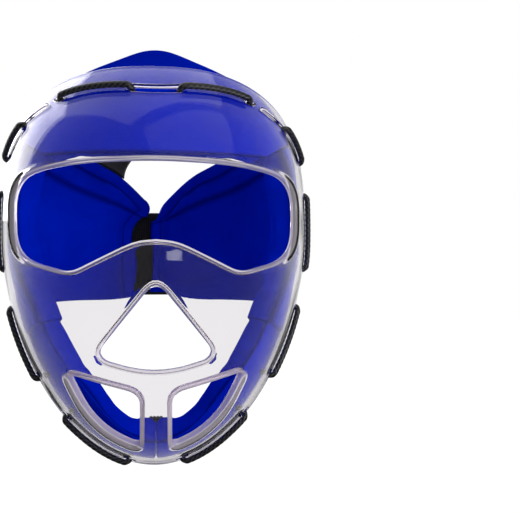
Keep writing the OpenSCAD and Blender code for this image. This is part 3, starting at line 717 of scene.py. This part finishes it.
HEM_R, HEM_OFF = 3.5, 4.4
flap_seam = 1 - 14 / float(np.linalg.norm(flap_face(0.5, 1) - flap_face(0.5, 0)))
roll = np.array([0, 1.2, 2.6, 4.4, 5.6, 6.6, 7.3, 7.7, 7.88])
even = np.linspace(0, np.pi, 47)
along = 0.5 - 0.5 * np.cos(even) * (0.7 + 0.3 * np.abs(np.cos(even)))
along = np.concatenate([-0.022 + 1.022 * along, np.ones(len(roll) - 1)])
up = np.concatenate([np.linspace(0, flap_seam, 24), np.linspace(flap_seam, 1, 7)[1:], np.ones(len(roll) - 1)])
past_rear = np.concatenate([np.zeros(47), roll[1:]])[None]
past_top = np.concatenate([np.zeros(30), roll[1:]])[:, None]


def flap_cloth(end):
    """Both faces of a flap that stops at a share of its reach, given for each row, and its seams."""
    s, v = np.meshgrid(along, up)
    end = end[:, None]
    past = np.maximum(past_rear, past_top)
    lead = past_top[..., None] * top_out(s * end) + past_rear[..., None] * rear_out(v, end)
    middle = flap_face(s * end, v) + past[..., None] * unit(lead)
    lie = flap_out(np.minimum(s, 0.985) * end, v)
    edges_in = np.sqrt(np.maximum(0, 1 - np.maximum(0, 1 - 2 * s) ** 14)
                       * np.maximum(0, 1 - np.maximum(0, 1 - 2 * v) ** 10))
    channel = 1 - 0.55 * np.exp(-((v - flap_seam) / 0.022) ** 2)
    run = 110 * s + 90 * (1 - v)
    gather = 0.05 * np.sin(run / 2.3) + 0.07 * np.sin(run / 6.1 + 1) + 0.05 * np.sin(run / 13.7)
    round_t = 2 * np.sqrt(np.maximum(0.01, HEM_R ** 2 - (past - HEM_OFF) ** 2))
    hem_t = np.where(past < HEM_OFF, 5 + 2 * past / HEM_OFF, round_t) * (1 + gather)
    foam_t = EDGE_T + (FLAP_FOAM - 0.4) * edges_in * channel
    full = ease(np.minimum((1 - v) / 0.05, (1 - s) / 0.035))
    above = np.where(past > 0, hem_t / 2 - 1.3, -1.1 * (1 - channel) + (1 - full) * 1.2)
    below = np.where(past > 0, hem_t / 2 + 1.3, foam_t * full + (1 - full) * 3.8)
    stitched = (np.abs(v - flap_seam) < 1e-6) | (s < -0.02)
    sewn = (past > 0) | (v >= 1) | (v <= 0) | (s >= 1) | stitched
    # The stitched seam and the folds into the hem are painted darker: painted shade.
    crease = np.where(stitched | (past == 0) & ((v >= 1) | (s >= 1)), SEAM_SHADE, 0)
    return middle + above[..., None] * lie, middle - below[..., None] * lie, sewn, crease


def swing(made):
    """Cloth with its placement baked into its points."""
    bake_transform(made)


def stitches(name, line, out, pitch=3.0, length=2.1, r=0.34):
    """Row of stitches along a line, each a short bead of thread lying on the cloth."""
    pack = spaced(np.hstack([line, out]), pitch, closed=False)
    points, faces = [], []
    along = unit(np.gradient(pack[:, :3], axis=0))
    up = unit(pack[:, 3:])
    across = np.cross(along, up)
    for k in range(len(pack)):
        for t, w in ((-0.5, 0.3), (-0.36, 0.85), (0, 1), (0.36, 0.85), (0.5, 0.3)):
            for a in np.arange(6) * np.pi / 3:
                side = np.cos(a) * across[k] + np.sin(a) * up[k]
                points.append(pack[k, :3] + t * length * along[k] + w * r * side)
        first = k * 30
        for ring in range(4):
            for i in range(6):
                a, b = first + ring * 6 + i, first + ring * 6 + (i + 1) % 6
                faces.append((a, b, b + 6, a + 6))
        faces += [tuple(first + i for i in range(5, -1, -1)), tuple(first + 24 + i for i in range(6))]
    return piece(name, points, faces)


thread, tree, shader = matt_finish("blue_thread", (0.0, 0.012, 0.42), 0.5, 0.1)
twist = add(tree, "TexNoise", Vector=add(tree, "TexCoord").outputs["Object"], Scale=2500.0, Detail=2.0)
tree.links.new(add(tree, "Bump", Strength=0.4, Distance=0.0002, Height=twist.outputs["Fac"]).outputs[0],
               shader.inputs["Normal"])
LEFT_END, RIGHT_END, RIGHT_SLOPE = 1.04, 0.956, 0.085
for name, mirror in (("left", 1), ("right", -1)):
    flip = np.array([mirror, 1, 1])
    order = slice(None, None, mirror)
    ends = LEFT_END + 0 * up if name == "left" else RIGHT_END - RIGHT_SLOPE * ease((1 - up) / 0.4)
    outer_face, inner_face, sewn, crease = flap_cloth(ends)
    panel = filled(name + "_ear_flap", (outer_face * flip)[:, order], (inner_face * flip)[:, order],
                   np.tile(sewn[:, order].ravel().astype(float), 2), np.tile(crease[:, order].ravel(), 2))
    seam_s = np.linspace(0.03, 0.94, 120) * np.interp(flap_seam, up[:30], ends[:30])
    seam_out = flap_out(seam_s, flap_seam)
    seam_line = flap_face(seam_s, flap_seam) - 0.2 * seam_out
    row = stitches(name + "_flap_stitches", seam_line * flip, seam_out * flip)
    for made, finish in ((panel, blue), (row, thread)):
        made.data.materials.append(finish)
        swing(made)
    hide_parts(name + "_flap_cover", name + "_flap_foam", name + "_flap_lining", name + "_flap_hem")

# Back strap
# Woven black elastic, 60 mm wide and 2.2 mm thick, sewn to the left flap and drawn round behind the head
# to the right flap, where a hook patch on its inner face holds it.
STRAP_LOW, STRAP_HIGH, STRAP_T = -44, 16, 2.2
STRAP_ROW = 32 / 72
STRAP_FOLD, STRAP_SEWN, STRAP_LAP = 0.97, 46, 52
STRAP_RISE = HEM_R - 1.3 + 0.9
flap_length = float(np.linalg.norm(flap_face(1, STRAP_ROW) - flap_face(0.5, STRAP_ROW))) / 0.5


def strap_plan(s):
    n = flap_out(s, STRAP_ROW)[..., :2]
    return flap_face(s, STRAP_ROW)[..., :2] + STRAP_RISE * unit(n), unit(n)


left_plan, left_out = strap_plan(np.linspace(STRAP_FOLD - STRAP_SEWN / flap_length, 1, 60))
right_plan, right_out = strap_plan(np.linspace(1, STRAP_FOLD - STRAP_LAP / flap_length, 66))
plan = np.vstack([np.hstack([left_plan, left_out]), np.hstack([right_plan, right_out]) * (-1, 1, -1, 1)])
plan = spaced(plan, 1.5, closed=False)
for _ in range(10):
    plan[1:-1] = (plan[:-2] + 2 * plan[1:-1] + plan[2:]) / 4


def webbing(name, middle, across, out, width, thick, cols=25):
    """Band with rolled selvedges: its middle line, the ways across and out of it, and its woven ribs."""
    w = np.linspace(-0.5, 0.5, cols)
    edge = np.sqrt(np.clip(1 - (np.maximum(0, np.abs(w) * width - width / 2 + 1.0)) ** 2, 0.12, 1))
    run = np.concatenate([[0], np.cumsum(np.linalg.norm(np.diff(middle, axis=0), axis=1))])
    layers = []
    for side in (1, -1):
        layers.append(middle[:, None] + (w * width)[None, :, None] * across[:, None]
                      + (side * thick / 2 * edge)[None, :, None] * out[:, None])
    rows = len(middle)
    both = np.concatenate([layer.reshape(-1, 3) for layer in layers])
    made = piece(name, both, sheet_faces(rows, cols))
    lie = np.stack(np.broadcast_arrays(run[:, None], (w * width)[None]), -1).reshape(-1, 2)
    flat = np.tile(lie, (2, 1)) / 1000
    weave = made.data.uv_layers.new(name="weave")
    corner = np.zeros(len(made.data.loops), int)
    made.data.loops.foreach_get("vertex_index", corner)
    weave.data.foreach_set("uv", flat[corner].astype(np.float32).ravel())
    return made


def woven(name, ribs):
    """Black woven band: ribs along it, crossed by finer picks; the raised threads are drawn lighter and a
    noise adds dust.
    """
    made, tree, shader = matt_finish(name, (0.012, 0.012, 0.011), 0.8, 0.25)
    lie = add(tree, "UVMap")
    lie.uv_map = "weave"
    warp = add(tree, "TexWave", Vector=lie.outputs[0], Scale=ribs, Distortion=0.4, Detail=1.0)
    warp.bands_direction = "Y"
    pick = add(tree, "TexWave", Vector=lie.outputs[0], Scale=ribs * 0.8, Distortion=0.8, Detail=1.0)
    pick.bands_direction = "X"
    height = calc(tree, "MULTIPLY", warp.outputs["Fac"], pick.outputs["Fac"])
    dust = add(tree, "TexNoise", Vector=lie.outputs[0], Scale=420.0, Detail=4.0)
    raised_and_dust = calc(tree, "MULTIPLY_ADD", height, 0.5, calc(tree, "MULTIPLY", dust.outputs["Fac"], 0.5))
    tone = add(tree, "ValToRGB", Fac=raised_and_dust)
    tone.color_ramp.elements[0].color = (0.005, 0.005, 0.0045, 1)
    tone.color_ramp.elements[1].color = (0.032, 0.032, 0.029, 1)
    tree.links.new(tone.outputs[0], shader.inputs["Base Color"])
    relief = add(tree, "Bump", Strength=0.7, Distance=0.0005, Height=height)
    tree.links.new(relief.outputs[0], shader.inputs["Normal"])
    return made


elastic = woven("black_elastic", 300.0)
strap_out = np.stack([plan[:, 2], plan[:, 3], 0 * plan[:, 2]], -1)
strap_z = 0 * plan[:, 0] + (STRAP_LOW + STRAP_HIGH) / 2
strap_mid = np.stack([plan[:, 0], plan[:, 1], strap_z], -1) + STRAP_T / 2 * strap_out
strap = webbing("elastic_back_strap", strap_mid, np.tile([0, 0, -1.0], (len(plan), 1)), strap_out,
                STRAP_HIGH - STRAP_LOW, STRAP_T, 31)
strap.data.materials.append(elastic)
fold_x, fold_y = strap_plan(np.array(STRAP_FOLD))[0]
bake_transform(strap)
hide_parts("back_strap_anchor", "back_strap")

hooks, tree, shader = matt_finish("hook_patch", (0.012, 0.012, 0.012), 0.5)
barb = add(tree, "TexVoronoi", Vector=add(tree, "TexCoord").outputs["Object"], Scale=900.0)
tree.links.new(add(tree, "Bump", Strength=0.8, Distance=0.0006, Height=barb.outputs["Distance"]).outputs[0],
               shader.inputs["Normal"])
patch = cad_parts["back_strap_hook"]
patch.data.materials.clear()
patch.data.materials.append(hooks)

# Crown strap
# Black webbing, 40 mm along each seam, sewn at a slant into the upper edges of both flaps. It lies back
# over the head and holds the mask up.
CROWN_T, CROWN_W, WEAVE_RUN = 1.8, 40, 165
CROWN_ROWS, CROWN_COLS = 40, 15
crown_share = CROWN_W / float(np.linalg.norm(flap_face(0.7, 1) - flap_face(0.35, 1))) * 0.35


def crown_end(s):
    return flap_face(s, 1) - 1.3 * flap_out(s, 1) + (2 * HEM_OFF + CROWN_T / 2 - 1.2) * top_out(s)


def crown_point(w, t):
    right = crown_end(0.69 + w * crown_share) * (-1, 1, 1)
    left = crown_end(0.46 + w * crown_share)
    arch = np.array([0, 31, 25]) * 4
    return (right * ((1 - t) ** 2 * (1 + 2 * t))[..., None] + left * (t ** 2 * (3 - 2 * t))[..., None]
            + arch * (t * (1 - t))[..., None])


band = woven("black_webbing", 260.0)
w = np.linspace(-0.5, 0.5, CROWN_COLS)
for name, t in (("right", np.linspace(0, 0.5, CROWN_ROWS)), ("left", np.linspace(0.5, 1, CROWN_ROWS))):
    w_grid, t_grid = np.meshgrid(w, t)
    lie = crown_point(w_grid, t_grid)
    up = unit(np.cross(crown_point(w_grid + 0.01, t_grid) - crown_point(w_grid - 0.01, t_grid),
                       crown_point(w_grid, t_grid + 0.01) - crown_point(w_grid, t_grid - 0.01)))
    edge = np.sqrt(np.clip(1 - np.maximum(0, np.abs(w) * CROWN_W - CROWN_W / 2 + 1) ** 2, 0.12, 1))
    half = CROWN_T / 2 * edge[None, :, None] * up
    both = np.concatenate([(lie - half).reshape(-1, 3), (lie + half).reshape(-1, 3)])
    made = piece(name + "_crown_strap", both, sheet_faces(CROWN_ROWS, CROWN_COLS))
    run = np.stack(np.broadcast_arrays(t[:, None] * WEAVE_RUN, (w * CROWN_W)[None]), -1).reshape(-1, 2)
    weave = made.data.uv_layers.new(name="weave")
    corner = np.zeros(len(made.data.loops), int)
    made.data.loops.foreach_get("vertex_index", corner)
    weave.data.foreach_set("uv", (np.tile(run, (2, 1)) / 1000)[corner].astype(np.float32).ravel())
    made.data.materials.append(band)
    tip = crown_point(np.array(0.0), np.array(0.08 if name == "right" else 0.92)) / 1000
    top = crown_point(np.array(0.0), np.array(0.5)) / 1000
    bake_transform(made)
    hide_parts("crown_strap")
